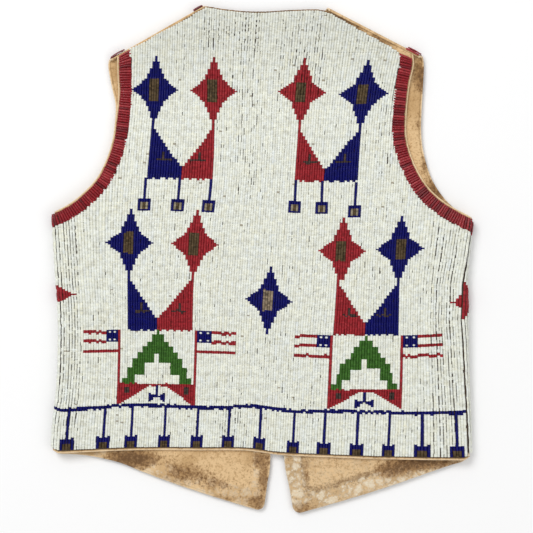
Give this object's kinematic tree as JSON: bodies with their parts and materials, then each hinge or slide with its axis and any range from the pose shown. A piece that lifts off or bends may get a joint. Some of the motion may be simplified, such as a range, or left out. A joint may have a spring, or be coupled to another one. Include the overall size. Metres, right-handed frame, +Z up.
{
  "type": "beaded hide vest",
  "caption": "Child's fully beaded hide vest laid flat on its fronts, with red beaded armholes and pointed front corners.",
  "frame": {"origin": "centre of the vest's outline, on the surface that it lies on", "axes": "+X to the wearer's right, +Y from the hem to the neck, +Z up out of the vest's back"},
  "size_m": [0.3308, 0.3978, 0.011],
  "materials": {
    "hide": "tanned suede, stained on the inner side",
    "white_beads": "opaque glazed seed beads, white with blue, red, green and brass figures",
    "red_beads": "opaque glazed seed beads"
  },
  "bodies": {
    "root": {"back_hide": "hide", "back_beadwork": "white_beads", "back_armhole_beads_left": "red_beads", "back_armhole_beads_right": "red_beads", "front_hide_left": "hide", "front_hide_right": "hide", "front_beadwork_left": "white_beads", "front_beadwork_right": "white_beads", "front_armhole_beads_left": "red_beads", "front_armhole_beads_right": "red_beads", "front_edge_beads_left": "red_beads", "front_edge_beads_right": "red_beads"}
  },
  "joints": []
}
